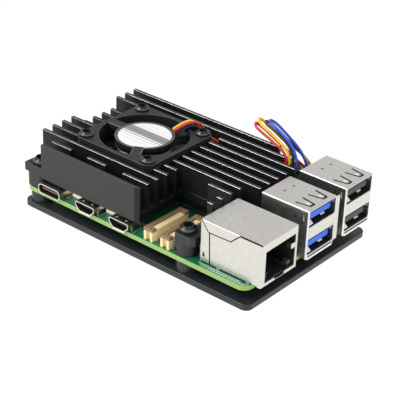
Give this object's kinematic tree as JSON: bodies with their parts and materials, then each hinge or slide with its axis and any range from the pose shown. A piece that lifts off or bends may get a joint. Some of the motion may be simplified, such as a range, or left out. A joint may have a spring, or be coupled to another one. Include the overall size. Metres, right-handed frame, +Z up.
{
  "type": "single board computer",
  "caption": "Single board computer between a black base plate and a finned black heatsink with a small fan, with network, USB, video and power sockets on two edges.",
  "frame": {"origin": "the base plate's underside, straight below the board's middle", "axes": "+X along the long edge from the power socket's end to the network and USB sockets' end, +Y from the video sockets' edge to the pin header's edge, +Z up out of the fan"},
  "size_m": [0.0888, 0.0576, 0.032],
  "materials": {
    "black_anodised_aluminium": "satin black anodising",
    "green_circuit_board": "green solder mask over glass-fibre board",
    "plated_steel": "bright tin plating",
    "black_steel": "black oxide",
    "bright_metal": "polished nickel",
    "fan_plastic": "fine moulded black",
    "black_plastic": "moulded black",
    "cream_plastic": "moulded cream",
    "brown_plastic": "moulded brown",
    "blue_plastic": "moulded blue",
    "white_plastic": "moulded white",
    "chip_black": "matt moulding compound",
    "label_paper": "satin printed film",
    "thermal_pad": "soft matt silicone",
    "copper_coils": "enamelled copper wire",
    "magnet": "bonded magnet",
    "bearing_bronze": "sintered bronze",
    "yellow_insulation": "smooth",
    "red_insulation": "smooth",
    "black_insulation": "smooth",
    "blue_insulation": "smooth"
  },
  "bodies": {
    "case": {"base_plate": "black_anodised_aluminium", "battery_socket": "cream_plastic", "camera_socket_0": "cream_plastic", "camera_socket_1": "cream_plastic", "card_slot": "plated_steel", "case_screw_1": "black_steel", "case_screw_2": "black_steel", "case_screw_3": "black_steel", "case_screw_4": "black_steel", "circuit_board": "green_circuit_board", "clock_crystal": "bright_metal", "debug_socket": "cream_plastic", "expansion_socket": "cream_plastic", "fan_bearing": "bearing_bronze", "fan_coils": "copper_coils", "fan_frame": "fan_plastic", "fan_label": "label_paper", "fan_plug": "white_plastic", "fan_screw_1": "black_steel", "fan_screw_2": "black_steel", "fan_screw_3": "black_steel", "fan_screw_4": "black_steel", "fan_socket": "cream_plastic", "heatsink": "black_anodised_aluminium", "io_controller": "chip_black", "io_controller_pad": "thermal_pad", "memory_chip": "chip_black", "memory_chip_pad": "thermal_pad", "network_socket_insert": "black_plastic", "network_socket_shell": "plated_steel", "pin_header": "black_plastic", "power_button_housing": "black_plastic", "power_chip": "chip_black", "power_chip_pad": "thermal_pad", "power_inductor": "chip_black", "power_socket_shell": "plated_steel", "power_socket_tongue": "black_plastic", "processor": "bright_metal", "processor_pad": "thermal_pad", "status_light": "white_plastic", "usb2_socket_insert": "black_plastic", "usb2_socket_shell": "plated_steel", "usb3_socket_insert": "blue_plastic", "usb3_socket_shell": "plated_steel", "video_socket_0_shell": "plated_steel", "video_socket_0_tongue": "black_plastic", "video_socket_1_shell": "plated_steel", "video_socket_1_tongue": "black_plastic", "wire_black": "black_insulation", "wire_blue": "blue_insulation", "wire_red": "red_insulation", "wire_yellow": "yellow_insulation", "wireless_module": "bright_metal"},
    "rotor": {"fan_rotor": "fan_plastic", "fan_magnet": "magnet", "fan_shaft": "bright_metal"},
    "camera_latch_0": {"camera_latch_0": "brown_plastic"},
    "camera_latch_1": {"camera_latch_1": "brown_plastic"},
    "expansion_latch": {"expansion_latch": "brown_plastic"},
    "power_button": {"power_button": "white_plastic"}
  },
  "joints": [
    {"name": "fan_spin", "type": "hinge", "parent": "case", "child": "rotor", "pos_m": [-0.0171, -0.0028, 0.0182], "axis": [0, 0, 1], "continuous": true},
    {"name": "camera_latch_0_lift", "type": "slide", "parent": "case", "child": "camera_latch_0", "axis": [0, 0, 1], "range_m": [0, 0.001]},
    {"name": "camera_latch_1_lift", "type": "slide", "parent": "case", "child": "camera_latch_1", "axis": [0, 0, 1], "range_m": [0, 0.001]},
    {"name": "expansion_latch_lift", "type": "slide", "parent": "case", "child": "expansion_latch", "axis": [0, 0, 1], "range_m": [0, 0.001]},
    {"name": "power_button_press", "type": "slide", "parent": "case", "child": "power_button", "axis": [1, 0, 0], "range_m": [0, 0.0003]}
  ]
}
